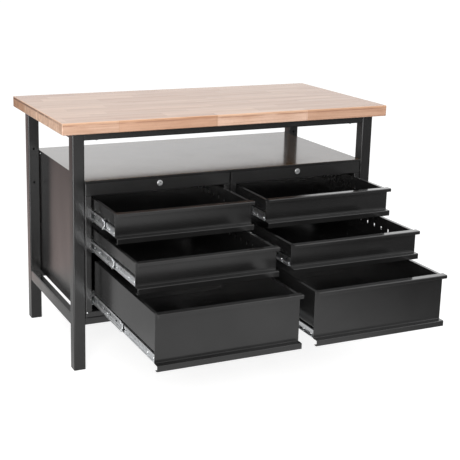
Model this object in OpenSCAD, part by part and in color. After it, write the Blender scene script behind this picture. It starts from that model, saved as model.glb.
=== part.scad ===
// Steel workbench with a laminated beech top, a tube frame and two cabinets of three drawers each.
// Millimetres. X runs along the bench, Y from the front to the back, Z up from the floor.
// Places are worked out with Y = 0 at the worktop's front edge, then the part is moved along Y
// so that the origin is at the middle of the space it takes up with its drawers as they stand.

/* [Worktop] */
// Length of the worktop
top_w = 1200; // [1000:10:1600]
// Depth of the worktop, front to back
top_d = 600; // [540:10:800]
// Thickness of the worktop
top_t = 38; // [28:1:60]
// Bevel along the worktop's edges
top_bevel = 2; // [0.5:0.5:4]
// Height of the worktop's face above the floor
bench_h = 840; // [800:5:950]

/* [Frame] */
// Width of a leg tube, along the bench
leg_w = 40; // [30:1:60]
// Depth of a leg tube, front to back
leg_d = 40; // [27:1:50]
// Wall of the frame tubes
tube_wall = 2; // [1.5:0.5:3]
// Outer corner radius of the frame tubes
tube_corner = 3.5; // [3.5:0.5:5]
// Worktop beyond the legs at each end
end_overhang = 40; // [10:1:80]
// Worktop beyond the legs at the front
front_overhang = 25; // [5:1:60]
// Worktop beyond the legs at the back
rear_overhang = 10; // [0:1:60]
// Side of the square tubes under the worktop and under the cabinets
rail_side = 25; // [18:1:28]
// Height of the tubes that join the legs low down at each end
low_rail_h = 40; // [25:1:60]
// Width of those tubes
low_rail_w = 25; // [20:1:28]
// Height of their underside above the floor
low_rail_z = 150; // [60:5:300]
// How far every cross tube lies behind the face of the legs
rail_setback = 1; // [0.5:0.5:2]
// Holes in the faces of the rear legs
leg_hole_d = 8; // [5:0.5:12]
// Spacing of those two holes
leg_hole_pitch = 125; // [60:5:200]
// Height of the upper one above the shelf
leg_hole_above_shelf = 6; // [0:1:40]
// Thickness of the plug that closes a leg at the floor
plug_t = 3; // [2:0.5:6]
// Length of the plug inside the leg
plug_stem = 18; // [8:1:40]

/* [Fasteners] */
// Shank diameter of the worktop screws
top_screw_d = 6; // [4:0.5:8]
// Length of a worktop screw in the wood
top_screw_grip = 25; // [15:1:27]
// Distance of the worktop screws from the legs
top_screw_inset = 45; // [20:1:120]
// Shank diameter of the screws that hold the cabinets to the legs
side_screw_d = 6; // [4:0.5:8]
// Height of those screws above the underside of the cabinets, for the lower ones
side_screw_low = 40; // [25:1:80]
// Distance of the upper ones below the shelf
side_screw_high = 70; // [60:1:120]
// Distance of the rear ones from the backs of the cabinets
side_screw_rear = 9; // [8:0.5:10]
// Head diameter of every screw, as a multiple of its shank
screw_head = 1.7; // [1.5:0.1:2]
// Head height of every screw
screw_head_h = 3; // [2:0.5:3.5]
// Clearance round a shank
shank_clear = 0.2; // [0.1:0.05:0.4]

/* [Cabinets] */
// Clear height between the shelf and the worktop
shelf_space = 157; // [100:1:220]
// Thickness of the shelf sheet
shelf_t = 1.2; // [0.8:0.1:2]
// Height of the fold along the shelf's front and back edges
shelf_fold = 9; // [5:0.5:15]
// Sheet thickness of the cabinets
cab_t = 1; // [0.8:0.1:1.5]
// Outer radius of the cabinet's bends
cab_bend = 2.6; // [2:0.1:4]
// Gap between a cabinet and a leg
leg_gap = 1.5; // [1:0.5:5]
// Gap between the two cabinets
mid_gap = 3; // [1:0.5:10]
// Width of the upright strip beside the drawers
stile_w = 22; // [16:1:30]
// Depth of the strip's return flange, which carries the runners
stile_return = 24; // [12:1:28]
// Height of the rail that holds the lock
lock_rail_h = 49; // [40:1:70]
// Height of the sill below the lowest drawer
sill_h = 20; // [12:1:40]
// Depth of the sill's top flange
sill_flange = 18; // [8:1:22]
// Width of the flanges along the back edges
back_flange = 15; // [10:1:20]

/* [Drawers] */
// Height of the top drawer's front
front_h_1 = 96; // [90:1:120]
// Height of the middle drawer's front
front_h_2 = 96; // [90:1:120]
// Height of the bottom drawer's front
front_h_3 = 172; // [120:1:210]
// Gap above the top drawer
gap_above = 3; // [2:0.5:6]
// Gap between two drawers
gap_between = 7; // [3:0.5:12]
// Gap below the bottom drawer
gap_below = 12.5; // [5:0.5:20]
// Gap at each end of a drawer front
front_side_gap = 2.5; // [1.5:0.5:5]
// Sheet thickness of the fronts
front_t = 1.2; // [0.8:0.1:1.6]
// Depth of the lip along the top of a front
lip_d = 23.5; // [16:0.5:32]
// Height of the lip's turned-down edge
lip_h = 11; // [7:0.5:16]
// Depth of the channel along the bottom of a front
foot_d = 22; // [12:0.5:30]
// Height of that channel
foot_h = 19; // [12:0.5:24]
// Depth of the channel's lower flange
foot_return = 14; // [6:0.5:18]
// Outer radius of the bends in a front
front_bend = 2.6; // [2:0.1:4]
// Sheet thickness of a drawer's tray
tray_t = 1; // [0.8:0.1:1.5]
// Tray floor above the lower edge of its front
tray_up = 12; // [4:0.5:14]
// Top of the tray below the top of its front
tray_drop = 5; // [0.5:0.5:8]
// Gap between a tray's outer skins and the edges of the opening
tray_side_gap = 3; // [2:0.5:6]
// Gap between a runner and the tray's outer skin above it
skin_gap = 1; // [0.5:0.5:4]
// Height of the folded edge along a tray's front and back
hem_h = 8; // [5:0.5:12]
// Width of the divider slots
slot_w = 5.5; // [1.5:0.5:8]
// Height of the divider slots
slot_h = 20; // [14:0.5:22]
// Gap between the divider slots and the runner below them
slot_gap = 4; // [0.5:0.5:6]
// First divider slot behind the front
slot_first = 56; // [40:1:80]
// Spacing of the divider slots
slot_pitch = 41.5; // [20:0.5:44]
// Divider slots in each side of a tray
slot_count = 11; // [2:1:11]

/* [Runners] */
// Height of the cabinet member
outer_h = 45; // [43:0.5:48]
// Height of the middle member
middle_h = 35.5; // [34:0.5:37]
// Height of the drawer member
inner_h = 26; // [24:0.5:28]
// Thickness of the closed runner
runner_t = 12.7; // [12:0.1:14]
// Sheet thickness of the members
member_t = 1.5; // [1:0.1:1.8]
// Gap between two members
member_gap = 0.3; // [0.2:0.05:0.5]
// Middle of a runner above the lower edge of its drawer's front
runner_up = 31; // [30:0.5:34]
// Closed runners behind the cabinet's face
runner_setback = 3; // [2.5:0.5:6]
// Space behind the runners for the posts and the back
runner_rear = 39; // [20:1:60]
// How much further than its own length a runner pulls out
over_travel = 25; // [0:1:60]
// Thickness of the stops at the front of the middle member
stop_t = 3; // [1:0.5:4]
// Height of the long holes in the middle member
member_hole_h = 8; // [4:0.5:12]
// Length of those holes
member_hole_l = 15; // [13:0.5:24]
// First hole behind the front end of the middle member
member_hole_first = 55; // [20:1:80]
// Spacing of those holes
member_hole_pitch = 57; // [32:1:90]

/* [Locks] */
// Diameter of the ring round a lock
ring_d = 20; // [19.5:0.5:26]
// How far the ring stands out
ring_t = 3; // [1.5:0.5:5]
// Bevel round the ring
ring_bevel = 1; // [0.5:0.25:1.5]
// Diameter of the housing behind it
housing_d = 16; // [15:0.5:19]
// Depth of the housing behind the rail's face
housing_l = 12; // [8:0.5:16]
// Diameter of the barrel that turns
barrel_d = 12; // [10:0.5:13]
// Width of the keyway
key_w = 1.6; // [1:0.2:3]
// Height of the keyway
key_h = 7; // [4:0.5:8]
// Running clearance round the barrel
barrel_clear = 0.05; // [0.02:0.01:0.1]
// Overlap of the turned cam with the top drawer's front
cam_catch = 8; // [4:1:14]
// Width of the cam
cam_w = 14; // [10:0.5:18]
// Thickness of the cam
cam_t = 2; // [1.5:0.5:3]
// Space between the turning cam and the flanges of its rail
cam_room = 2; // [1:0.5:3]

/* [Pose] */
// Top drawers' opening, as a share of their travel
open_1 = 0.387; // [0:0.001:1]
// Middle drawers' opening, as a share of their travel
open_2 = 0.708; // [0:0.001:1]
// Bottom drawers' opening, as a share of their travel
open_3 = 0.992; // [0:0.001:1]

/* [Hidden] */
COLUMNS = ["left", "right"];
ROWS = ["top", "mid", "bottom"];
DRAWER_PARTS = ["tray", "front", "inner_runners", "middle_runners"];

// Small overlap that lets one shape cut right through another
cut = 1;
// Gap between sheets that meet but aren't joined
seam = 0.2;
// Space left beside a screw's head
head_room = 2;
paint = [0.13, 0.13, 0.135];
zinc = [0.68, 0.69, 0.70];
beech = [0.82, 0.64, 0.48];

// The frame
top_z0 = bench_h - top_t;
leg_x = top_w / 2 - end_overhang - leg_w / 2;
span_x = leg_x - leg_w / 2;
front_leg_y = front_overhang + leg_d / 2;
rear_leg_y = top_d - rear_overhang - leg_d / 2;
leg_span_y = rear_leg_y - front_leg_y - leg_d;
rail_y = [front_overhang + rail_setback, top_d - rear_overhang - rail_setback - rail_side];

// The cabinets, from the shelf down
shelf_z1 = top_z0 - shelf_space;
cab_z1 = shelf_z1 - shelf_t;
opening_z1 = cab_z1 - lock_rail_h;
front_h = [front_h_1, front_h_2, front_h_3];
front_z1 = [
    opening_z1 - gap_above,
    opening_z1 - gap_above - front_h_1 - gap_between,
    opening_z1 - gap_above - front_h_1 - front_h_2 - 2 * gap_between
];
front_z0 = front_z1 - front_h;
opening_z0 = front_z0[2] - gap_below;
cab_z0 = opening_z0 - sill_h;
cab_y0 = rail_y[0];
cab_y1 = top_d - rear_overhang - rail_setback - shelf_t;
cab_w = span_x - leg_gap - mid_gap / 2;
cab_x = (cab_w + mid_gap) / 2;
opening_w = cab_w - 2 * stile_w;
// A round corner of a cabinet's side, with the gap to the sheets that stand beside it
corner = cab_bend + seam;

// The runners and how far the drawers stand open
runner_y0 = cab_y0 + runner_setback;
runner_l = cab_y1 - runner_y0 - runner_rear;
travel = runner_l + over_travel;
open_y = travel * [open_1, open_2, open_3];
middle_x0 = member_t + member_gap;
web_step = 3 * member_t + seam;
inner_x0 = middle_x0 + member_t + member_gap;
post_foot = runner_rear - side_screw_rear - screw_head * side_screw_d / 2 - head_room;

// The drawers
front_w = opening_w - 2 * front_side_gap;
tray_w = opening_w - 2 * runner_t;
tray_top_w = opening_w - 2 * tray_side_gap;
tray_d = runner_l;
skin_z = runner_up + outer_h / 2 + skin_gap;

// The locks
lock_z = opening_z1 + lock_rail_h / 2;
cam_reach = lock_rail_h / 2 + gap_above + cam_catch;

// The screws that hold the cabinets to the legs, from inside a cabinet outwards
side_screw_x = span_x - leg_gap - cab_t;
side_screw_l = cab_t + leg_gap + tube_wall + cut;
side_screw_y = [front_leg_y, cab_y1 - side_screw_rear];
side_screw_z = [cab_z0 + side_screw_low, cab_z1 - side_screw_high];

// The middle of the space taken up, from the furthest lip to the worktop's back edge
reach_y = min(0, cab_y0 - max(open_y) - max(lip_d, foot_d));
origin_y = (reach_y + top_d) / 2;

function unit(v) = v / norm(v);
function column_x(column) = column == "left" ? -cab_x : cab_x;

// Moves a piece from the bench's own places to the origin
module placed() {
    translate([0, -origin_y, 0]) children();
}

// Extrudes a drawing of Y and Z along X, from the middle
module along_x(length) {
    translate([-length / 2, 0, 0]) rotate([90, 0, 90]) linear_extrude(length) children();
}

// Extrudes a drawing of X and Z along Y, from y0 backwards
module along_y(y0, length) {
    translate([0, y0 + length, 0]) rotate([90, 0, 0]) linear_extrude(length) children();
}

// The same thing at the left and at the right end
module both_ends() {
    children();
    mirror([1, 0, 0]) children();
}

// At both sides of a cabinet's opening, with X = 0 at its edge and + towards its middle
module both_edges(column) {
    translate([column_x(column), 0, 0]) both_ends() translate([-opening_w / 2, 0, 0]) children();
}

// Rounded rectangle from its lower left corner
module rounded(w, h, r) {
    translate([r, 0]) square([w - 2 * r, h]);
    translate([0, r]) square([w, h - 2 * r]);
    for (x = [r, w - r], y = [r, h - r]) translate([x, y]) circle(r, $fn = 32);
}

// Section of a tube with round corners
module tube(w, h) {
    difference() {
        rounded(w, h, tube_corner);
        translate([tube_wall, tube_wall])
            rounded(w - 2 * tube_wall, h - 2 * tube_wall, tube_corner - tube_wall + seam);
    }
}

// Edge view of a bent sheet. The path runs along the sheet's middle with square turns
module bent_sheet(path, t, bend) {
    last = len(path) - 1;
    mid = bend - t / 2;
    for (i = [0:last - 1]) {
        way = unit(path[i + 1] - path[i]);
        from = path[i] + (i > 0 ? mid : 0) * way;
        to = path[i + 1] - (i < last - 1 ? mid : 0) * way;
        side = t / 2 * [-way.y, way.x];
        polygon([from - side, to - side, to + side, from + side]);
    }
    for (i = [1:last - 1]) {
        way_in = unit(path[i] - path[i - 1]);
        way_out = unit(path[i + 1] - path[i]);
        centre = path[i] + mid * (way_out - way_in);
        reach = bend + cut;
        intersection() {
            translate(centre) difference() {
                circle(bend, $fn = 32);
                circle(bend - t, $fn = 32);
            }
            polygon([
                centre,
                centre - reach * way_out,
                centre + reach * (way_in - way_out),
                centre + reach * way_in
            ]);
        }
    }
}

// Rectangle with its corners cut off
module bevelled(w, h, bevel) {
    polygon([
        [bevel, 0],
        [w - bevel, 0],
        [w, bevel],
        [w, h - bevel],
        [w - bevel, h],
        [bevel, h],
        [0, h - bevel],
        [0, bevel]
    ]);
}

// Worktop and what holds it
module top_screw_places() {
    for (y = rail_y) both_ends()
        translate([span_x - top_screw_inset, y + rail_side / 2, top_z0 - rail_side]) children();
}

module worktop() {
    hole_l = top_screw_grip + cut;
    color(beech) placed() difference() {
        intersection() {
            along_x(top_w) translate([0, top_z0]) bevelled(top_d, top_t, top_bevel);
            along_y(0, top_d) translate([-top_w / 2, top_z0]) bevelled(top_w, top_t, top_bevel);
            translate([-top_w / 2, 0, top_z0]) linear_extrude(top_t)
                bevelled(top_w, top_d, top_bevel);
        }
        top_screw_places() translate([0, 0, rail_side - cut])
            cylinder(d = top_screw_d + 2 * shank_clear, h = hole_l + cut, $fn = 32);
    }
}

module worktop_screws() {
    head_d = screw_head * top_screw_d;
    color(zinc) placed() top_screw_places() {
        cylinder(d = top_screw_d, h = rail_side + top_screw_grip, $fn = 32);
        translate([0, 0, -screw_head_h])
            cylinder(d1 = top_screw_d, d2 = head_d, h = screw_head_h, $fn = 32);
    }
}

// Legs
module leg_tube() {
    translate([-leg_w / 2, -leg_d / 2, plug_t]) linear_extrude(top_z0 - plug_t) tube(leg_w, leg_d);
}

// Shanks of the cabinet screws at the right end, widened by grow on all sides
module side_screw_shanks(grow) {
    for (y = side_screw_y, z = side_screw_z)
        translate([side_screw_x, y, z]) rotate([0, 90, 0])
            cylinder(d = side_screw_d + 2 * grow, h = side_screw_l, $fn = 32);
}

// Legs of the right end. end = -1 puts them at the left
module at_end(end) {
    mirror([end < 0 ? 1 : 0, 0, 0]) children();
}

module front_leg(end) {
    color(paint) placed() at_end(end) difference() {
        translate([leg_x, front_leg_y, 0]) leg_tube();
        side_screw_shanks(shank_clear);
    }
}

module rear_leg(end) {
    color(paint) placed() at_end(end) difference() {
        translate([leg_x, rear_leg_y, 0]) leg_tube();
        side_screw_shanks(shank_clear);
        for (drop = [0, leg_hole_pitch]) translate([
            leg_x,
            rear_leg_y - leg_d / 2 - cut,
            shelf_z1 + leg_hole_above_shelf - drop
        ])
            rotate([-90, 0, 0])
                cylinder(d = leg_hole_d, h = tube_wall + 2 * cut, $fn = 32);
    }
}

module leg_plugs() {
    stem_w = leg_w - 2 * tube_wall - 2 * shank_clear;
    stem_d = leg_d - 2 * tube_wall - 2 * shank_clear;
    stem_r = tube_corner - tube_wall + seam;
    color("black") placed() both_ends() for (y = [front_leg_y, rear_leg_y])
        translate([leg_x, y, 0]) {
            translate([-leg_w / 2, -leg_d / 2, 0]) linear_extrude(plug_t)
                rounded(leg_w, leg_d, tube_corner);
            translate([-stem_w / 2, -stem_d / 2, plug_t]) linear_extrude(plug_stem)
                difference() {
                    rounded(stem_w, stem_d, stem_r);
                    translate([tube_wall, tube_wall])
                        square([stem_w - 2 * tube_wall, stem_d - 2 * tube_wall]);
                }
        }
}

// Tubes between the legs
module long_top_rail(y) {
    color(paint) placed() difference() {
        along_x(2 * span_x) translate([y, top_z0 - rail_side]) tube(rail_side, rail_side);
        top_screw_places() translate([0, 0, -cut])
            cylinder(d = top_screw_d + 2 * shank_clear, h = rail_side + 2 * cut, $fn = 32);
    }
}

module long_lower_rail(y) {
    color(paint) placed()
        along_x(2 * span_x) translate([y, cab_z0 - rail_side]) tube(rail_side, rail_side);
}

module short_top_rail(end) {
    color(paint) placed() at_end(end) along_y(front_leg_y + leg_d / 2, leg_span_y)
        translate([leg_x - rail_side / 2, top_z0 - rail_side]) tube(rail_side, rail_side);
}

module short_lower_rail(end) {
    color(paint) placed() at_end(end) along_y(front_leg_y + leg_d / 2, leg_span_y)
        translate([leg_x + leg_w / 2 - rail_setback - low_rail_w, low_rail_z])
            tube(low_rail_w, low_rail_h);
}

// Shelf over both cabinets
module shelf() {
    y0 = cab_y0 - shelf_t / 2;
    y1 = cab_y1 + shelf_t / 2;
    z1 = shelf_z1 - shelf_t / 2;
    z0 = shelf_z1 - shelf_fold;
    color(paint) placed() along_x(2 * (span_x - leg_gap / 2))
        bent_sheet([[y0, z0], [y0, z1], [y1, z1], [y1, z0]], shelf_t, shelf_t + seam);
}

// Cabinets
// Plan of a cabinet's left side: return flange, upright strip, side and back flange
module side_plan() {
    x0 = cab_t / 2;
    x1 = stile_w - cab_t / 2;
    y0 = cab_y0 + cab_t / 2;
    y1 = cab_y1 - cab_t / 2;
    bent_sheet(
        [[x1, y0 + stile_return], [x1, y0], [x0, y0], [x0, y1], [back_flange, y1]],
        cab_t, cab_bend
    );
}

// Left side of a cabinet that stands at X = 0
module cabinet_side() {
    room = [stile_w, stile_return + 2 * cut, opening_z1];
    difference() {
        translate([0, 0, cab_z0]) linear_extrude(cab_z1 - cab_z0) side_plan();
        for (z = [opening_z1, opening_z0 - room.z])
            translate([corner, cab_y0 - cut, z]) cube(room);
    }
}

module outer_side(end) {
    color(paint) placed() at_end(end) difference() {
        translate([span_x - leg_gap, 0, 0]) mirror([1, 0, 0]) cabinet_side();
        side_screw_shanks(shank_clear);
    }
}

module inner_side(end) {
    color(paint) placed() at_end(end) translate([mid_gap / 2, 0, 0]) cabinet_side();
}

module cabinet_screws() {
    color(zinc) placed() both_ends() {
        side_screw_shanks(0);
        for (y = side_screw_y, z = side_screw_z)
            translate([side_screw_x, y, z]) rotate([0, -90, 0])
                cylinder(d = screw_head * side_screw_d, h = screw_head_h, $fn = 32);
    }
}

module cabinet_back(column) {
    w = cab_w - 2 * corner;
    color(paint) placed()
        translate([column_x(column) - w / 2, cab_y1 - 2 * cab_t, cab_z0 + cab_t])
            cube([w, cab_t, cab_z1 - cab_z0 - cab_t]);
}

module cabinet_floor(column) {
    z = cab_z0 + cab_t / 2;
    y0 = cab_y0 + cab_t / 2;
    y1 = cab_y1 - cab_t;
    z1 = opening_z0 - cab_t / 2;
    w = cab_w - 2 * (cab_t + seam);
    wide_y0 = y0 + stile_return + cut;
    color(paint) placed() translate([column_x(column), 0, 0]) {
        along_x(cab_w - 2 * (corner + seam))
            bent_sheet([[y0 + sill_flange, z1], [y0, z1], [y0, z], [y1, z]], cab_t, cab_bend);
        translate([-w / 2, wide_y0, cab_z0]) cube([w, cab_y1 - corner - wide_y0, cab_t]);
    }
}

module lock_rail(column) {
    y0 = cab_y0 + cab_t / 2;
    z0 = opening_z1 + cab_t / 2;
    z1 = cab_z1 - cab_t / 2;
    far = cab_y0 + housing_l - cam_room;
    color(paint) placed() translate([column_x(column), 0, 0]) difference() {
        along_x(cab_w - 2 * (corner + seam))
            bent_sheet([[far, z0], [y0, z0], [y0, z1], [far, z1]], cab_t, cab_bend);
        translate([0, cab_y0 - cut, lock_z]) rotate([-90, 0, 0])
            cylinder(d = housing_d + 2 * shank_clear, h = cab_t + 2 * cut, $fn = 48);
    }
}

// Upright posts at the back of the cabinets that carry the runners
module runner_posts() {
    x0 = cab_t * 1.5 - stile_w;
    y0 = runner_y0 + runner_l;
    color(paint) placed() for (column = COLUMNS) both_edges(column)
        translate([0, 0, cab_z0 + cab_t]) linear_extrude(cab_z1 - cab_z0 - cab_t)
            bent_sheet(
                [[x0, y0 + post_foot], [x0, y0], [-cab_t / 2, y0], [-cab_t / 2, y0 - stile_return]],
                cab_t, cab_bend
            );
}

// Locks
module lock_place(column) {
    translate([column_x(column), cab_y0, lock_z]) rotate([90, 0, 0]) children();
}

module lock_housings() {
    bore_d = barrel_d + 2 * barrel_clear;
    color(zinc) placed() for (column = COLUMNS) lock_place(column) difference() {
        union() {
            cylinder(d = ring_d, h = ring_t - ring_bevel, $fn = 48);
            translate([0, 0, ring_t - ring_bevel])
                cylinder(d1 = ring_d, d2 = ring_d - 2 * ring_bevel, h = ring_bevel, $fn = 48);
            translate([0, 0, -housing_l]) cylinder(d = housing_d, h = housing_l, $fn = 48);
        }
        translate([0, 0, -housing_l - cut])
            cylinder(d = bore_d, h = housing_l + ring_t + 2 * cut, $fn = 48);
    }
}

module lock_barrel(column) {
    color(zinc) placed() lock_place(column) difference() {
        translate([0, 0, -housing_l - seam]) cylinder(d = barrel_d, h = housing_l + ring_t, $fn = 48);
        translate([-key_w / 2, -key_h / 2, 0]) cube([key_w, key_h, ring_t]);
    }
}

module lock_cam(column) {
    end_r = cam_w / 2;
    color(zinc) placed() lock_place(column) translate([0, 0, -housing_l - seam - cam_t])
        linear_extrude(cam_t) {
            circle(end_r, $fn = 32);
            translate([0, -end_r]) square([cam_reach, cam_w]);
        }
}

// Runners. X = 0 is the face that they are screwed to, and + points to the drawer
module channel(w, h, t) {
    bent_sheet(
        [[w, -h / 2 + t / 2], [t / 2, -h / 2 + t / 2], [t / 2, h / 2 - t / 2], [w, h / 2 - t / 2]],
        t, 2 * t
    );
}

// At the front ends of a drawer's two runners, moved out by a share of the drawer's opening
module at_runners(column, row, share) {
    both_edges(column)
        translate([0, runner_y0 - share * open_y[row], front_z0[row] + runner_up]) children();
}

module outer_runners(column) {
    y0 = stop_t + cut;
    w = runner_t - member_t - 2 * member_gap;
    color(zinc) placed() for (row = [0:2]) at_runners(column, row, 0)
        along_y(y0, runner_l - y0) channel(w, outer_h, member_t);
}

module long_hole() {
    straight = member_hole_l - member_hole_h;
    square([straight, member_hole_h], center = true);
    for (x = [-straight / 2, straight / 2]) translate([x, 0]) circle(d = member_hole_h, $fn = 32);
}

// Section of a middle member. Its web steps in between the tracks of the balls
module middle_section(w) {
    x0 = member_t / 2;
    x1 = x0 + web_step;
    z1 = (middle_h - member_t) / 2;
    z0 = inner_h / 2 - member_gap - 2.5 * member_t;
    bent_sheet(
        [[w, -z1], [x0, -z1], [x0, -z0], [x1, -z0], [x1, z0], [x0, z0], [x0, z1], [w, z1]],
        member_t, 2 * member_t
    );
}

module middle_runners(column, row) {
    w = runner_t - member_t - member_gap - middle_x0;
    lug_w = middle_x0 + member_t - member_gap;
    lug_h = (middle_h - inner_h) / 2 - member_gap;
    color(zinc) placed() at_runners(column, row, 1 / 2) {
        difference() {
            along_y(0, runner_l) translate([middle_x0, 0]) middle_section(w);
            for (y = [member_hole_first:member_hole_pitch:runner_l - member_hole_l])
                translate([0, y, 0]) rotate([90, 0, 90]) linear_extrude(runner_t) long_hole();
        }
        for (z = [-middle_h / 2, middle_h / 2 - lug_h]) translate([member_gap, 0, z])
            cube([lug_w, stop_t, lug_h]);
    }
}

module inner_runners(column, row) {
    color(zinc) placed() at_runners(column, row, 1) translate([runner_t, 0, 0])
        mirror([1, 0, 0]) along_y(0, runner_l) channel(runner_t - inner_x0, inner_h, member_t);
}

// Drawers. X = 0 is their middle, Y = 0 the front's face and Z = 0 its lower edge
module at_drawer(column, row) {
    translate([column_x(column), cab_y0 - open_y[row], front_z0[row]]) children();
}

// Block as deep as a tray between two heights, drawn in by inset on its four sides
module tray_block(w, z0, z1, inset) {
    translate([inset - w / 2, inset, z0]) cube([w - 2 * inset, tray_d - 2 * inset, z1 - z0]);
}

// The tray's walls carry the runners. Higher up its sides are folded outwards and down again
module tray(column, row) {
    z1 = front_h[row] - tray_drop;
    skin_x = tray_top_w / 2 - tray_t;
    color(paint) placed() at_drawer(column, row) translate([0, front_t, 0]) difference() {
        union() {
            tray_block(tray_w, tray_up, z1, 0);
            tray_block(tray_top_w, skin_z, z1, 0);
        }
        tray_block(tray_w, tray_up + tray_t, z1 - hem_h, tray_t);
        translate([tray_t - tray_w / 2, 2 * tray_t, tray_up + tray_t])
            cube([tray_w - 2 * tray_t, tray_d - 4 * tray_t, z1]);
        for (x = [-skin_x, tray_w / 2]) translate([x, -cut, skin_z - cut])
            cube([skin_x - tray_w / 2, tray_d + 2 * cut, z1 - tray_t - skin_z + cut]);
        if (row < 2) for (i = [0:slot_count - 1]) translate([
            -tray_top_w / 2 - cut,
            slot_first + i * slot_pitch - slot_w / 2 - front_t,
            runner_up + inner_h / 2 + slot_gap
        ])
            cube([tray_top_w + 2 * cut, slot_w, slot_h]);
    }
}

module front(column, row) {
    y = front_t / 2;
    z0 = front_t / 2;
    z1 = front_h[row] - front_t / 2;
    sill = foot_h - front_t / 2;
    color(paint) placed() at_drawer(column, row) along_x(front_w) bent_sheet(
        [
            [y - lip_d, front_h[row] - lip_h],
            [y - lip_d, z1],
            [y, z1],
            [y, sill],
            [y - foot_d, sill],
            [y - foot_d, z0],
            [y - foot_d + foot_return, z0]
        ],
        front_t, front_bend
    );
}

worktop();
worktop_screws();
leg_plugs();
front_leg(-1);  // front_left_leg
front_leg(1);  // front_right_leg
rear_leg(-1);  // rear_left_leg
rear_leg(1);  // rear_right_leg
long_top_rail(rail_y[0]);  // front_top_rail
long_top_rail(rail_y[1]);  // rear_top_rail
short_top_rail(-1);  // left_top_rail
short_top_rail(1);  // right_top_rail
long_lower_rail(rail_y[0]);  // front_lower_rail
long_lower_rail(rail_y[1]);  // rear_lower_rail
short_lower_rail(-1);  // left_lower_rail
short_lower_rail(1);  // right_lower_rail
shelf();
cabinet_screws();
runner_posts();
lock_housings();
for (column = COLUMNS) {
    end = column == "left" ? -1 : 1;
    outer_side(end);
    inner_side(end);
    cabinet_back(column);
    cabinet_floor(column);
    lock_rail(column);
    outer_runners(column);
    lock_barrel(column);
    lock_cam(column);
    for (row = [0:2]) {
        name = str(column, "_", ROWS[row], "_");
        tray(column, row);
        front(column, row);
        inner_runners(column, row);
        middle_runners(column, row);
    }
}
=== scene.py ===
import math

import bmesh
import bpy
from mathutils import Matrix, Vector


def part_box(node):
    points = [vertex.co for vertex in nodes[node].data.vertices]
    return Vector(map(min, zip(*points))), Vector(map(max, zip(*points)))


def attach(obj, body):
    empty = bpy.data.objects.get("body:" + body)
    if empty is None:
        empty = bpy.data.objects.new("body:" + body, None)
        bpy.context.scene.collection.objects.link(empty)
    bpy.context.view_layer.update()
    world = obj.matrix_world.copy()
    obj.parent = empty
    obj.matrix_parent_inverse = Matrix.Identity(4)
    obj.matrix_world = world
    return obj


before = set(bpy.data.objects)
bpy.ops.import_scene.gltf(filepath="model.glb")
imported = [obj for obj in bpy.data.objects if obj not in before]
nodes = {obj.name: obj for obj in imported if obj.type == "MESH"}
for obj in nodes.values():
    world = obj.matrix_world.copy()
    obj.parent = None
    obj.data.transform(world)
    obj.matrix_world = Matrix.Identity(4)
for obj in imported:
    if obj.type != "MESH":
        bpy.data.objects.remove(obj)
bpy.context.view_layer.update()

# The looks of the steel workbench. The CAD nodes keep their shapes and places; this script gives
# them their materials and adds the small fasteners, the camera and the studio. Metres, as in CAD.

scene = bpy.context.scene
scene.view_settings.view_transform = "Standard"

COLUMNS = ("left", "right")
ROWS = ("top", "mid", "bottom")
MM = 0.001


# --- Camera: the photograph's viewing angle, fitted to the corners of the bench -----------------
PHOTO_PX = 460                       # width and height of the photograph
FOCAL_PX = 1030.53
SHIFT_PX = 40                        # from the lens's axis to the middle of the picture
SENSOR = 36                          # mm
CAMERA_PLACE = (-1.52529, -3.06476, 1.40903)
YAW, PITCH, ROLL = -0.42235, -0.24062, 0.01854

cam_data = bpy.data.cameras.new("camera")
cam_data.sensor_width = SENSOR
cam_data.lens = FOCAL_PX / PHOTO_PX * SENSOR
cam_data.shift_x = SHIFT_PX / PHOTO_PX
cam_data.shift_y = -SHIFT_PX / PHOTO_PX
cam_data.clip_start = 0.05
cam_data.clip_end = 100
camera = bpy.data.objects.new("camera", cam_data)
scene.collection.objects.link(camera)
turn = (
    Matrix.Rotation(YAW, 4, "Z")
    @ Matrix.Rotation(math.pi / 2 + PITCH, 4, "X")
    @ Matrix.Rotation(ROLL, 4, "Z")
)
camera.matrix_world = Matrix.Translation(CAMERA_PLACE) @ turn
scene.camera = camera


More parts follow.
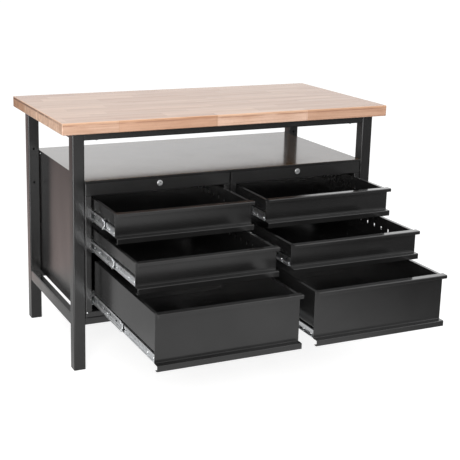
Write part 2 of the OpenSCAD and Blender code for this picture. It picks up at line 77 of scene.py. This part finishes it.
# --- Node helpers -------------------------------------------------------------------------------
class Graph:
    """The node tree of a material or world, with short calls for its nodes. Where a call takes a
    value, that is a socket to link, a number or a colour."""

    def __init__(self, owner, output="OutputMaterial"):
        owner.use_nodes = True
        self.owner = owner
        self.tree = owner.node_tree
        self.tree.nodes.clear()
        self.out = self.node(output)

    def node(self, kind, **settings):
        made = self.tree.nodes.new("ShaderNode" + kind)
        for key, value in settings.items():
            setattr(made, key, value)
        return made

    def link(self, source, target):
        self.tree.links.new(source, target)

    def put(self, target, value):
        if isinstance(value, bpy.types.NodeSocket):
            self.link(value, target)
            return
        if target.type == "RGBA" and len(value) == 3:
            value = (*value, 1)
        target.default_value = value

    # Numbers
    def math(self, operation, *values):
        made = self.node("Math", operation=operation)
        for target, value in zip(made.inputs, values):
            self.put(target, value)
        return made.outputs[0]

    def plus(self, a, b):
        return self.math("ADD", a, b)

    def minus(self, a, b):
        return self.math("SUBTRACT", a, b)

    def times(self, first, *others):
        for value in others:
            first = self.math("MULTIPLY", first, value)
        return first

    def over(self, a, b):
        return self.math("DIVIDE", a, b)

    def is_below(self, a, b):
        return self.math("LESS_THAN", a, b)

    def clamp01(self, value):
        made = self.node("Clamp")
        self.put(made.inputs["Value"], value)
        return made.outputs[0]

    # Places and directions
    def place(self, scale=(1, 1, 1)):
        """The piece's own place, each axis times its scale. It stays on a piece that moves."""
        coords = self.node("TexCoord").outputs["Object"]
        made = self.node("VectorMath", operation="MULTIPLY")
        self.link(coords, made.inputs[0])
        made.inputs[1].default_value = scale
        return made.outputs[0]

    def vector(self, x, y, z):
        made = self.node("CombineXYZ")
        for target, value in zip(made.inputs, (x, y, z)):
            self.put(target, value)
        return made.outputs[0]

    def split(self, vector):
        made = self.node("SeparateXYZ")
        self.link(vector, made.inputs[0])
        return made.outputs

    def length(self, x, y, z):
        made = self.node("VectorMath", operation="LENGTH")
        self.link(self.vector(x, y, z), made.inputs[0])
        return made.outputs["Value"]

    # Patterns and colours
    def noise(self, vector, scale=1.0, detail=2.0, roughness=0.5, distortion=0.0):
        made = self.node("TexNoise")
        self.link(vector, made.inputs["Vector"])
        made.inputs["Scale"].default_value = scale
        made.inputs["Detail"].default_value = detail
        made.inputs["Roughness"].default_value = roughness
        made.inputs["Distortion"].default_value = distortion
        return made.outputs["Fac"]

    def ramp(self, value, stops, interpolation="LINEAR"):
        """stops: (position, colour) pairs, at least two. A number stands for a grey."""
        made = self.node("ValToRGB")
        band = made.color_ramp
        band.interpolation = interpolation
        while len(band.elements) < len(stops):
            band.elements.new(0.5)
        for element, (position, colour) in zip(band.elements, stops):
            element.position = position
            if isinstance(colour, (int, float)):
                colour = (colour, colour, colour)
            element.color = (*colour, 1)
        self.put(made.inputs[0], value)
        return made.outputs[0]

    def channels(self, colour):
        made = self.node("SeparateColor")
        self.link(colour, made.inputs[0])
        return made.outputs

    def mix(self, factor, a, b, blend="MIX"):
        made = self.node("Mix", data_type="RGBA", blend_type=blend)
        self.put(made.inputs["Factor"], factor)
        self.put(made.inputs[6], a)
        self.put(made.inputs[7], b)
        return made.outputs[2]

    def tint(self, base, colour, amount=1.0):
        """base times colour, by amount."""
        return self.mix(amount, base, colour, "MULTIPLY")

    # Surfaces
    def rounded(self, radius):
        """A normal that rounds the piece's edges off."""
        made = self.node("Bevel", samples=4)
        made.inputs["Radius"].default_value = radius
        return made.outputs[0]

    def bump(self, height, strength, distance, normal=None):
        made = self.node("Bump")
        self.link(height, made.inputs["Height"])
        made.inputs["Strength"].default_value = strength
        made.inputs["Distance"].default_value = distance
        if normal:
            self.link(normal, made.inputs["Normal"])
        return made.outputs[0]

    def surface(self, kind, **values):
        """A shader of this kind. In the names of its sockets an underscore stands for a space."""
        made = self.node(kind)
        for key, value in values.items():
            self.put(made.inputs[key.replace("_", " ")], value)
        return made.outputs[0]

    def blend(self, factor, a, b):
        made = self.node("MixShader")
        for target, value in zip(made.inputs, (factor, a, b)):
            self.put(target, value)
        return made.outputs[0]

    def finish(self, shader):
        self.link(shader, self.out.inputs["Surface"])
        return self.owner

    def seen_plainly(self):
        """1 for the rays that have to meet a plain white background."""
        path = self.node("LightPath").outputs
        seen = self.math("MAXIMUM", path["Is Camera Ray"], path["Is Glossy Ray"])
        return self.math("MAXIMUM", seen, path["Is Transmission Ray"])


# --- Materials ----------------------------------------------------------------------------------
BLACK = (0.0108, 0.0107, 0.0108)
PAINT_CLOUDS = 0.25                  # how far the paint's tone strays from BLACK, as a share
PAINT_EDGE = 0.0020                  # radius that the powder coat gives to folded edges
METAL_EDGE = 0.0012


def painted(name, roughness, peel, flat_gloss=(0.9, 0.9), painted_warm_reflection=None):
    """Black powder coat: fine orange peel, faint clouds in tone and gloss. It levels best where it
    lies flat, so faces that look up have a gloss coat: flat_gloss is its weight at the left and
    right ends of the bench. The last argument is a warm colour painted on those faces: a painted
    reflection of the beech worktop above them."""
    g = Graph(bpy.data.materials.new(name))
    place = g.place()
    cloud = g.noise(place, 9.0, 4.0, 0.6)
    grain = g.noise(place, 900.0, 2.0)
    tone = g.plus(g.times(cloud, 0.7), g.times(grain, 0.3))
    dark = tuple(c * (1 - PAINT_CLOUDS) for c in BLACK)
    light = tuple(c * (1 + PAINT_CLOUDS) for c in BLACK)
    base = g.ramp(tone, ((0.30, dark), (0.70, light)))
    facing_up = g.split(g.node("TexCoord").outputs["Normal"])[2]
    flat = g.ramp(facing_up, ((0.45, 0.0), (0.95, 1.0)))
    # Painted reflection: a warm colour on faces that look up, standing for the beech worktop above
    # them
    if painted_warm_reflection:
        warm_reflection_film = g.mix(tone, tuple(c * 0.8 for c in painted_warm_reflection), painted_warm_reflection)
        base = g.mix(flat, base, warm_reflection_film)
    smear = g.noise(g.place((6, 6, 2)), 1.0, 5.0, 0.65)
    rough = g.ramp(smear, ((0.3, roughness - 0.03), (0.7, roughness + 0.04)))
    waves = g.noise(place, 420.0, 1.0)
    normal = g.bump(waves, peel, 0.0002, g.rounded(PAINT_EDGE))
    across = g.plus(g.split(place)[0], 0.5)
    gloss = g.ramp(across, ((0.05, flat_gloss[0]), (0.95, flat_gloss[1])))
    return g.finish(g.surface(
        "BsdfPrincipled", Base_Color=base, Roughness=rough, Normal=normal, IOR=1.5,
        Coat_Weight=g.times(flat, gloss), Coat_Roughness=0.08, Coat_IOR=1.5,
    ))


def zinc_plated(name):
    """Bright zinc on rolled steel: faint streaks along the member, cloudy gloss."""
    g = Graph(bpy.data.materials.new(name))
    streak = g.noise(g.place((700, 12, 700)), 1.0, 3.0)
    cloud = g.noise(g.place((60, 60, 60)), 1.0, 3.0)
    tone = g.plus(g.times(streak, 0.45), g.times(cloud, 0.55))
    base = g.ramp(tone, ((0.3, (0.50, 0.51, 0.52)), (0.7, (0.74, 0.75, 0.76))))
    rough = g.ramp(cloud, ((0.3, 0.24), (0.7, 0.38)))
    normal = g.bump(streak, 0.12, 0.0001, g.rounded(METAL_EDGE))
    return g.finish(g.surface(
        "BsdfPrincipled", Base_Color=base, Roughness=rough, Normal=normal, Metallic=1.0,
    ))


def zinc_head(name):
    """Zinc on a turned head: faint rings from turning, and painted shade in the recess."""
    g = Graph(bpy.data.materials.new(name))
    x, y, _ = g.split(g.place())
    out = g.length(x, y, 0.0)
    turned = g.math("SINE", g.times(out, 21000.0))
    cloud = g.noise(g.place((300, 300, 300)), 1.0, 3.0)
    base = g.ramp(cloud, ((0.3, (0.62, 0.63, 0.64)), (0.7, (0.82, 0.83, 0.84))))
    # Painted shade: the colour darkens inside the recess of the head
    base = g.tint(base, g.ramp(g.over(out, MM), ((0.9, 0.35), (1.0, 1.0))))
    rough = g.ramp(cloud, ((0.3, 0.20), (0.7, 0.32)))
    normal = g.bump(turned, 0.10, 0.00005)
    return g.finish(g.surface(
        "BsdfPrincipled", Base_Color=base, Roughness=rough, Normal=normal, Metallic=1.0,
    ))


def chromed(name):
    """Chrome of a lock, dulled by use: faint marks from turning, cloudy gloss."""
    g = Graph(bpy.data.materials.new(name))
    cloud = g.noise(g.place((140, 140, 140)), 1.0, 3.0)
    turned = g.noise(g.place((900, 120, 900)), 1.0, 2.0)
    base = g.ramp(cloud, ((0.3, (0.66, 0.67, 0.68)), (0.7, (0.82, 0.82, 0.83))))
    rough = g.ramp(cloud, ((0.3, 0.27), (0.7, 0.38)))
    normal = g.bump(turned, 0.05, 0.0001, g.rounded(METAL_EDGE))
    return g.finish(g.surface(
        "BsdfPrincipled", Base_Color=base, Roughness=rough, Normal=normal, Metallic=1.0,
    ))


def moulded(name):
    """Black moulded plastic: a matt skin with fine pits."""
    g = Graph(bpy.data.materials.new(name))
    place = g.place()
    cloud = g.noise(place, 60.0, 3.0)
    pits = g.noise(place, 1400.0, 2.0)
    base = g.ramp(cloud, ((0.3, (0.012, 0.012, 0.013)), (0.7, (0.024, 0.024, 0.025))))
    rough = g.ramp(cloud, ((0.3, 0.45), (0.7, 0.6)))
    normal = g.bump(pits, 0.3, 0.0002)
    return g.finish(g.surface("BsdfPrincipled", Base_Color=base, Roughness=rough, Normal=normal))


# --- The worktop's beech ------------------------------------------------------------------------
# Joints between the rows of staves, in metres behind the worktop's front edge
STAVE_EDGES = (0.035, 0.100, 0.136, 0.178, 0.220, 0.259, 0.298, 0.341, 0.385, 0.445, 0.491, 0.537)
STAVE_ROWS = len(STAVE_EDGES) + 1
STAVE_L = 0.3426
FRONT_STAVE_OFFSET = 0.0703
GLUE_LINE = 0.0012
CUT_DEPTH = 0.0012                   # how deep the look of the front and of the sawn end reaches
GROWTH_RING = 0.0034                 # from one ring to the next

# Tone of the front row's staves from here on, as a share of the worktop's width
FRONT_TONES = ((0.156, 0.28), (0.4415, 1.0), (0.727, 0.34))
# Tone of the stave at the left end of each row from here on, in metres behind the front edge
END_TONES = (
    (0.0, 0.56), (0.035, 0.80), (0.136, 0.66), (0.220, 0.74),
    (0.298, 0.42), (0.385, 0.55), (0.445, 0.20), (0.537, 0.10),
)
# Colour of a stave by its tone
STAVE_COLOURS = (
    (0.0, (0.40, 0.205, 0.115)),
    (0.25, (0.50, 0.275, 0.165)),
    (0.5, (0.535, 0.328, 0.215)),
    (0.75, (0.62, 0.385, 0.255)),
    (1.0, (0.66, 0.43, 0.30)),
)


def staves(g, x, y, low, size):
    """Divides the board into staves. Gives each one's tone, its heart's two random numbers, and the
    place along it in metres."""
    stops = [(0.0, 0.0)]
    stops += [(edge / size.y, (i + 1) / STAVE_ROWS) for i, edge in enumerate(STAVE_EDGES)]
    depth = g.over(y, size.y)
    row = g.times(g.ramp(depth, stops, "CONSTANT"), float(STAVE_ROWS))
    in_front = g.is_below(row, 0.5)
    shift = g.node("TexWhiteNoise", noise_dimensions="1D")
    g.link(g.plus(row, 3.0), shift.inputs["W"])
    free = g.times(shift.outputs["Value"], STAVE_L)
    offset = g.plus(
        g.times(in_front, FRONT_STAVE_OFFSET), g.times(g.minus(1.0, in_front), free)
    )
    along = g.over(g.plus(x, g.plus(offset, 2.0 * STAVE_L)), STAVE_L)
    inside = g.times(g.math("FRACT", along), STAVE_L)

    chance = g.node("TexWhiteNoise", noise_dimensions="3D")
    g.link(g.vector(g.math("FLOOR", along), row, 4.0), chance.inputs["Vector"])
    lucky_tone, lean, depth_luck = g.channels(chance.outputs["Color"])
    even_tone = g.plus(g.times(lucky_tone, 0.45), 0.30)
    front_tone = g.ramp(g.over(g.minus(x, low.x), size.x), FRONT_TONES, "CONSTANT")
    at_left = g.is_below(g.minus(x, inside), low.x + 0.001)
    end_tone = g.ramp(depth, [(edge / size.y, tone) for edge, tone in END_TONES], "CONSTANT")
    tone = g.mix(at_left, g.mix(in_front, even_tone, front_tone), end_tone)
    return g.channels(tone)[0], lean, depth_luck, inside


def wood(g, x, y, z, tone, lean, depth_luck):
    """The wood of a stave. Gives its colour, streaks and pores."""
    # Rings about a far heart, so that the top shows lines and the ends show arcs
    wander = g.noise(g.place((1.6, 9, 9)), 1.0, 3.0, 0.5)
    heart_y = g.plus(g.times(g.minus(lean, 0.5), 0.24), 0.3)
    heart_z = g.plus(g.times(depth_luck, -0.16), -0.03)
    radius = g.plus(g.length(0.0, g.minus(y, heart_y), g.minus(z, heart_z)), g.times(wander, 0.012))
    rings = g.times(g.math("PINGPONG", g.over(radius, GROWTH_RING), 0.5), 2.0)
    rings = g.math("POWER", rings, 3.0)

    # Streaks, fine pores and flecks that run along the stave
    seed = g.times(tone, 7.0)
    long_place = g.vector(g.times(g.plus(x, seed), 2.2), g.times(y, 90.0), g.times(z, 90.0))
    streak = g.noise(long_place, 1.0, 5.0, 0.6, 0.3)
    broad = g.noise(g.place((4.5, 46, 20)), 1.0, 4.0, 0.6, 0.4)
    pores = g.noise(g.place((60, 1500, 1500)), 1.0, 2.0)
    flecks = g.noise(g.place((220, 1300, 500)), 1.0, 1.0)

    base = g.ramp(tone, STAVE_COLOURS)
    shade = g.ramp(
        streak, ((0.30, (0.72, 0.62, 0.55)), (0.5, (0.97, 0.95, 0.93)), (0.75, (1.06, 1.06, 1.06)))
    )
    base = g.tint(base, shade, 0.75)
    shade = g.ramp(broad, ((0.32, (0.84, 0.76, 0.70)), (0.5, 1.0), (0.68, (1.06, 1.09, 1.11))))
    base = g.tint(base, shade, 0.9)
    base = g.mix(g.times(rings, 0.22), base, (0.30, 0.14, 0.07))
    base = g.mix(g.ramp(pores, ((0.60, 0.0), (0.75, 0.30))), base, (0.22, 0.10, 0.05))
    base = g.mix(g.ramp(flecks, ((0.66, 0.0), (0.74, 0.35))), base, (0.24, 0.11, 0.055))
    return base, streak, pores


def sawn_end(g, base, x, depth, up, low):
    """The sawn left end: upright streaks, and burnt spots under its upper edge. Gives the colour,
    and 1 on the cut face."""
    sawn = g.is_below(x, low.x + CUT_DEPTH)
    upright = g.noise(g.place((1, 70, 9)), 1.0, 4.0, 0.6)
    upright = g.ramp(upright, ((0.35, (0.80, 0.74, 0.70)), (0.6, (1.04, 1.03, 1.02))))
    pale = g.ramp(depth, ((0.0, 1.0), (0.60, 0.97), (0.80, (0.80, 0.73, 0.63))))
    cut_face = g.tint(g.tint(g.tint(base, upright), (1.38, 1.56, 1.74)), pale)
    base = g.mix(sawn, base, cut_face)
    spots = g.ramp(g.noise(g.place((1, 26, 60)), 1.0, 3.0, 0.6), ((0.32, 0.45), (0.50, 1.0)))
    by_edge = g.ramp(up, ((0.72, 0.0), (0.81, 0.95), (0.92, 0.95), (0.955, 0.0)))
    by_depth = g.ramp(depth, ((0.02, 0.25), (0.30, 0.9), (1.0, 1.0)))
    at_end = g.is_below(x, low.x + 0.004)
    burnt = g.times(spots, by_depth, by_edge)
    return g.mix(g.times(at_end, burnt), base, (0.17, 0.075, 0.04)), sawn


def front_edge(g, base, x, y, up, low):
    """A painted highlight along the upper bevels, and a brown line under the front's upper edge."""
    # Painted highlight: a lighter colour on the upper bevels of the front and the left end, where
    # the edge catches the light
    painted_bevel_highlight = g.ramp(up, ((0.935, 0.0), (0.965, 1.0)))
    side_edge = g.is_below(g.math("MINIMUM", g.minus(x, low.x), y), 0.0025)
    base = g.mix(g.times(painted_bevel_highlight, side_edge, 0.6), base, (0.74, 0.46, 0.30))
    in_front = g.is_below(y, CUT_DEPTH)
    base = g.mix(in_front, base, g.tint(base, (1.03, 1.08, 1.18)))
    line = g.ramp(up, ((0.70, 0.0), (0.74, 1.0), (0.80, 1.0), (0.84, 0.0)))
    broken = g.ramp(g.noise(g.place((9, 1, 1)), 1.0, 2.0), ((0.40, 0.2), (0.54, 0.75)))
    base = g.mix(g.times(in_front, line, broken), base, (0.27, 0.125, 0.07))
    above = g.times(in_front, g.ramp(up, ((0.78, 0.0), (0.84, 0.8))))
    return g.mix(above, base, g.tint(base, (1.0, 0.94, 0.82)))


def beech(name):
    """Laminated beech: staves with their own tone and ring direction, grain along X."""
    g = Graph(bpy.data.materials.new(name))
    low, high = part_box("worktop")
    size = high - low
    x, y, z = g.split(g.place())
    y, z = g.minus(y, low.y), g.minus(z, low.z)
    depth, up = g.over(y, size.y), g.over(z, size.z)

    tone, lean, depth_luck, inside = staves(g, x, y, low, size)
    base, streak, pores = wood(g, x, y, z, tone, lean, depth_luck)
    end_line = g.is_below(inside, GLUE_LINE)
    base = g.mix(g.times(end_line, 0.45), base, (0.20, 0.10, 0.05))
    base, sawn = sawn_end(g, base, x, depth, up, low)
    base = front_edge(g, base, x, y, up, low)

    rough = g.ramp(streak, ((0.3, 0.46), (0.7, 0.36)))
    height = g.plus(g.times(pores, -0.6), g.times(streak, 0.4))
    return g.finish(g.surface(
        "BsdfPrincipled", Base_Color=base, Roughness=rough, Normal=g.bump(height, 0.12, 0.0004),
        IOR=1.5, Coat_Weight=g.minus(0.8, g.times(sawn, 0.65)), Coat_Roughness=0.24, Coat_IOR=1.45,
    ))


# --- Materials on the CAD nodes -----------------------------------------------------------------
FRAME_PAINT = painted("frame_powder_coat", 0.22, 0.08)
DRAWER_PAINT = painted("drawer_powder_coat", 0.16, 0.06, flat_gloss=(0.30, 1.0))
RAIL_PAINT = painted("rail_powder_coat", 0.31, 0.08)
# The shelf under the worktop: a painted warm reflection of the beech on its top faces
SHELF_PAINT = painted(
    "shelf_powder_coat", 0.18, 0.04, flat_gloss=(0.81, 0.44), painted_warm_reflection=(0.074, 0.038, 0.011)
)
ZINC = zinc_plated("zinc_plate")
CHROME = chromed("polished_chrome")
PLASTIC = moulded("black_plastic_foot")
BEECH = beech("laminated_beech")
ZINC_HEAD = zinc_head("zinc_fastener")

for name, thing in nodes.items():
    if name == "worktop":
        material = BEECH
    elif name == "leg_plugs":
        material = PLASTIC
    elif name == "lock_housings" or "_lock_barrel" in name:
        material = CHROME
    elif "runners" in name or "screws" in name or "_lock_cam" in name:
        material = ZINC
    elif name == "shelf":
        material = SHELF_PAINT
    elif name.endswith("_lock_rail"):
        material = RAIL_PAINT
    elif name.endswith(("_tray", "_front")):
        material = DRAWER_PAINT
    else:
        material = FRAME_PAINT
    for holder in thing.material_slots:
        holder.material = material


# --- Small fasteners, each on the body that carries it ------------------------------------------
HEAD_SIDES = 32
# Profiles: the radius and height of each ring in mm, from the recess out to the seat
PAN_HEAD = ((0.7, 1.0), (0.9, 1.75), (1.9, 1.9), (2.7, 1.65), (3.2, 1.1), (3.2, -0.05))
RIVET_HEAD = ((0.5, 1.0), (0.7, 1.25), (1.6, 1.2), (2.6, 0.85), (3.2, 0.3), (3.3, -0.05))
SILL_RIVET = ((0.5, 0.5), (0.7, 0.8), (1.3, 0.85), (2.0, 0.6), (2.4, 0.2), (2.5, -0.05))
RECESS_RINGS = 2
SCREW_CROSS = 1.1                    # mm that the arms of a screw's recess reach out

INNER_WEB = 0.0076                   # from the lips of the drawer's member in to its web
MIDDLE_WEB = 0.0062                  # from the lugs of the middle member in to its web
SCREW_BACKS = (0.027, 0.073, 0.300)  # behind the drawer's front
SCREW_DROP = 0.0070                  # below the middle of the runner
RIVET_BACKS = (0.135, 0.405)         # behind the front end of the middle member
RIVET_DROP = 0.0040                  # below the middle of the runner

SILL_RIVET_INS = (("outer", 0.0052), ("inner", 0.5118))   # from the cabinet's outer face
SILL_RIVET_Z = 0.1979
SIDE_RIVET_FORE = 0.0448             # before the rear edge of the cabinet's side
SIDE_RIVET_Z = 0.634


def fastener(name, profile, place, axis, body, cross=0.0):
    """A turned head that sits at place and points along axis. cross draws the rings of the recess
    out into four arms."""
    made = bmesh.new()
    rings = []
    for index, (radius, height) in enumerate(profile):
        ring = []
        for step in range(HEAD_SIDES):
            angle = step * math.tau / HEAD_SIDES
            out = radius
            if index < RECESS_RINGS:
                out += cross * abs(math.cos(2 * angle)) ** 6
            corner = (out * math.cos(angle), out * math.sin(angle), height)
            ring.append(made.verts.new([c * MM for c in corner]))
        rings.append(ring)
    made.faces.new(rings[0])
    made.faces.new(reversed(rings[-1]))
    for inner, outer in zip(rings, rings[1:]):
        for step in range(HEAD_SIDES):
            after = (step + 1) % HEAD_SIDES
            made.faces.new((inner[step], outer[step], outer[after], inner[after]))
    bmesh.ops.recalc_face_normals(made, faces=made.faces)
    mesh = bpy.data.meshes.new(name)
    made.to_mesh(mesh)
    made.free()
    for face in mesh.polygons:
        face.use_smooth = len(face.vertices) == 4
    mesh.materials.append(ZINC_HEAD)
    thing = bpy.data.objects.new(name, mesh)
    aim = Vector(axis).to_track_quat("Z", "Y").to_matrix().to_4x4()
    thing.matrix_world = Matrix.Translation(place) @ aim
    scene.collection.objects.link(thing)
    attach(thing, body)


def both_sides(node, web):
    """Where heads stand on a drawer's two members of one kind: side, X and axis."""
    low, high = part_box(node)
    return (("l", low.x + web, (-1, 0, 0)), ("r", high.x - web, (1, 0, 0)))


for column in COLUMNS:
    for row in ROWS:
        stem = f"{column}_{row}"
        front_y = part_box(stem + "_front")[1].y
        low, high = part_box(stem + "_inner_runners")
        mid_z = (low.z + high.z) / 2
        for side, x, axis in both_sides(stem + "_inner_runners", INNER_WEB):
            for number, back in enumerate(SCREW_BACKS):
                fastener(
                    f"{stem}_runner_screw_{side}{number}", PAN_HEAD,
                    (x, front_y + back, mid_z - SCREW_DROP), axis, f"{stem}_drawer", SCREW_CROSS,
                )
        tip_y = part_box(stem + "_middle_runners")[0].y
        for side, x, axis in both_sides(stem + "_middle_runners", MIDDLE_WEB):
            for number, back in enumerate(RIVET_BACKS):
                fastener(
                    f"{stem}_carriage_rivet_{side}{number}", RIVET_HEAD,
                    (x, tip_y + back, mid_z - RIVET_DROP), axis, f"{stem}_carriage",
                )

for column, sign in zip(COLUMNS, (-1, 1)):
    side_low, side_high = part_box(column + "_cabinet_outer_side")
    sill_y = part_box(column + "_cabinet_floor")[0].y
    wall_x = side_low.x if sign < 0 else side_high.x
    for place, off in SILL_RIVET_INS:
        fastener(
            f"{column}_sill_rivet_{place}", SILL_RIVET,
            (wall_x - sign * off, sill_y, SILL_RIVET_Z), (0, -1, 0), "bench",
        )
    fastener(
        f"{column}_side_rivet", RIVET_HEAD,
        (wall_x, side_high.y - SIDE_RIVET_FORE, SIDE_RIVET_Z), (sign, 0, 0), "bench",
    )


# --- Floor, world and lamps ---------------------------------------------------------------------
FLOOR_SIZE = 60
# Painted highlights: the floor shines up to this much more than white to gloss near the key lamp,
# for light lines on edges
PAINTED_GLINT_GLOW = 4.0                      # how much brighter gloss finds the floor near the key lamp
# Painted reflections: the colour that gloss meets on the floor, as (position, colour) pairs. Across
# the bench: x / 4
PAINTED_REFLECTION_ACROSS = ((0.02, 1.0), (0.08, 1.12), (0.13, 0.95), (0.23, 0.33), (0.32, 0.07), (0.42, 0.28))
# Away from the front, beside the bench and behind it: y / 4 + 0.1
PAINTED_REFLECTION_BESIDE = ((0.025, 1.0), (0.175, 0.56), (0.375, 0.50), (0.50, 0.14), (0.65, 0.10))
PAINTED_REFLECTION_BEHIND = (
    (0.025, 1.0), (0.175, 0.66), (0.25, 0.66), (0.3125, (0.88, 0.86, 0.84)),
    (0.375, (0.95, 0.78, 0.745)), (0.6, (0.90, 0.74, 0.705)), (0.9, (0.62, 0.50, 0.48)),
)

# name, place, target, width, height, watts, colour
SOFTBOXES = (
    ("key_softbox", (-2.2, -4.2, 2.0), (0.0, 0.0, 0.5), 2.4, 2.0, 187, (1.0, 0.985, 0.965)),
    ("top_softbox", (-1.0, -0.3, 3.0), (-0.2, 0.2, 0.8), 1.2, 1.0, 15, (1.0, 0.99, 0.97)),
    ("fill_softbox", (2.6, -3.4, 2.6), (0.0, 0.0, 0.4), 2.4, 1.8, 19, (0.97, 0.985, 1.0)),
)


def floor_white_with_painted_reflections(name):
    """White to the camera, with a faint shadow. To gloss it shows painted reflections instead: it
    emits light that is darker in places, warmer in others, and brighter than white near the key
    lamp.
    """
    g = Graph(bpy.data.materials.new(name))
    lit = g.surface("BsdfDiffuse", Color=(0.80, 0.80, 0.80))
    white = g.node("AddShader")
    g.link(g.surface("BsdfDiffuse", Color=(0.5, 0.5, 0.5)), white.inputs[0])
    g.link(g.surface("Emission", Color=(1, 1, 1), Strength=0.8), white.inputs[1])

    x, y, _ = g.split(g.place())
    reflection_across = g.ramp(g.over(x, 4.0), PAINTED_REFLECTION_ACROSS)
    back = g.plus(g.times(y, 0.25), 0.1)
    # A slanting line parts the floor beside the bench, at its left, from the floor behind it
    past_line = g.plus(g.plus(y, g.times(x, 2.97)), 1.70)
    reflection_apart = g.mix(
        g.clamp01(g.times(past_line, 3.5)), g.ramp(back, PAINTED_REFLECTION_BESIDE), g.ramp(back, PAINTED_REFLECTION_BEHIND)
    )
    # Painted highlights: to gloss the floor shines brighter than white at the front left, where the
    # key lamp stands
    to_left = g.clamp01(g.times(g.plus(x, 0.45), -1.2))
    to_front = g.clamp01(g.times(y, -2.0))
    glint_glow = g.plus(g.times(to_left, to_front, PAINTED_GLINT_GLOW), 1.0)
    # Painted reflections: the floor emits this colour and strength to gloss only
    painted_reflection_emitter = g.surface("Emission", Color=g.tint(reflection_across, reflection_apart), Strength=glint_glow)
    shown = g.blend(g.node("LightPath").outputs["Is Glossy Ray"], white.outputs[0], painted_reflection_emitter)
    return g.finish(g.blend(g.seen_plainly(), lit, shown))


def studio_world(name):
    """A plain pale room, and plain white where it is seen."""
    g = Graph(bpy.data.worlds.new(name), "OutputWorld")
    room = g.surface("Background", Color=(0.98, 0.99, 1.0), Strength=0.55)
    white = g.surface("Background", Color=(1, 1, 1), Strength=1.0)
    return g.finish(g.blend(g.seen_plainly(), room, white))


def floor_plane(name, size, material):
    mesh = bpy.data.meshes.new(name)
    made = bmesh.new()
    bmesh.ops.create_grid(made, x_segments=1, y_segments=1, size=size / 2)
    made.to_mesh(mesh)
    made.free()
    mesh.materials.append(material)
    thing = bpy.data.objects.new(name, mesh)
    scene.collection.objects.link(thing)


def softbox(name, place, target, width, height, watts, colour):
    data = bpy.data.lights.new(name, "AREA")
    data.shape = "RECTANGLE"
    data.size = width
    data.size_y = height
    data.energy = watts
    data.color = colour
    lamp = bpy.data.objects.new(name, data)
    aim = (Vector(target) - Vector(place)).to_track_quat("-Z", "Y")
    lamp.matrix_world = Matrix.Translation(place) @ aim.to_matrix().to_4x4()
    scene.collection.objects.link(lamp)


# The floor: white to the camera, and painted reflections to gloss
floor_plane("floor", FLOOR_SIZE, floor_white_with_painted_reflections("floor_white_with_painted_reflections"))
scene.world = studio_world("studio")
for settings in SOFTBOXES:
    softbox(*settings)
